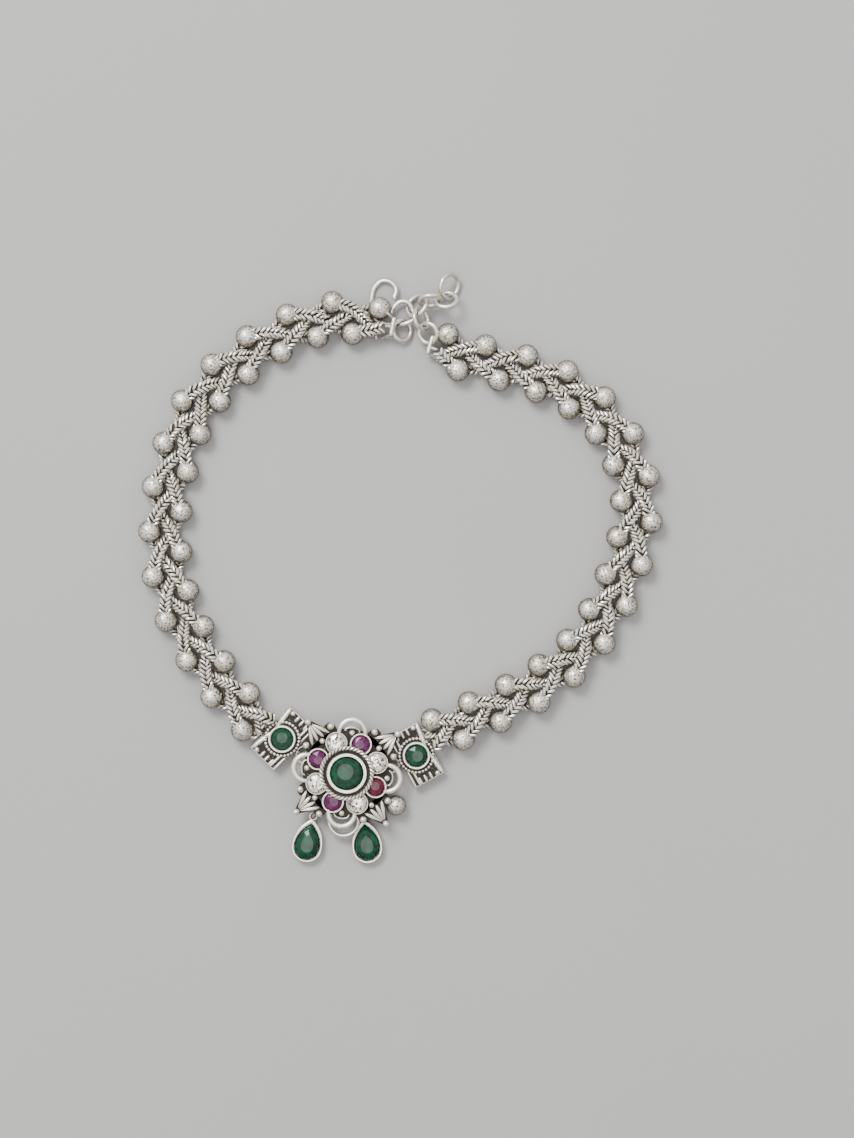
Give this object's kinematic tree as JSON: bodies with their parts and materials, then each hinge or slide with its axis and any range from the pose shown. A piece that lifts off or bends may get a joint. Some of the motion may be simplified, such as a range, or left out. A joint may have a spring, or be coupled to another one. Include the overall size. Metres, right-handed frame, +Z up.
{
  "type": "braided payal anklet with a flower medallion and pear drops",
  "caption": "Closed silver-tone anklet: two three-strand chain braids set with balls, a stone-set flower medallion with pear drops, stone-set end boxes, and a hook with extender rings.",
  "frame": {"origin": "on the surface it lies on, under the middle of the anklet's outline", "axes": "+Z up from the surface, +Y from the flower medallion to the clasp, +X to the right as it is seen from above"},
  "size_m": [0.0986, 0.1109, 0.0056],
  "materials": {
    "silver": "bright, with dark oxidised recesses",
    "green_stone": "faceted, deep green",
    "purple_stone": "faceted, purple-red",
    "clear_stone": "faceted, colourless"
  },
  "bodies": {
    "root": {"flower_frame": "silver", "centre_stone": "green_stone", "crystal_1": "clear_stone", "crystal_2": "clear_stone", "crystal_3": "clear_stone", "crystal_4": "clear_stone", "ruby_1": "purple_stone", "ruby_2": "purple_stone", "ruby_3": "purple_stone", "ruby_4": "purple_stone", "box_left": "silver", "box_right": "silver", "box_stone_left": "green_stone", "box_stone_right": "green_stone", "link_left": "silver", "link_right": "silver", "strand_left_1": "silver", "strand_left_2": "silver", "strand_left_3": "silver", "strand_right_1": "silver", "strand_right_2": "silver", "strand_right_3": "silver", "drop_setting_left": "silver", "drop_setting_right": "silver", "drop_stone_left": "green_stone", "drop_stone_right": "green_stone", "drop_ring_left": "silver", "drop_ring_right": "silver", "hanging_ball": "silver", "end_ring_left": "silver", "end_ring_right": "silver", "s_hook": "silver", "extender_1": "silver", "extender_2": "silver", "extender_3": "silver", "extender_4": "silver", "extender_5": "silver"}
  },
  "joints": []
}
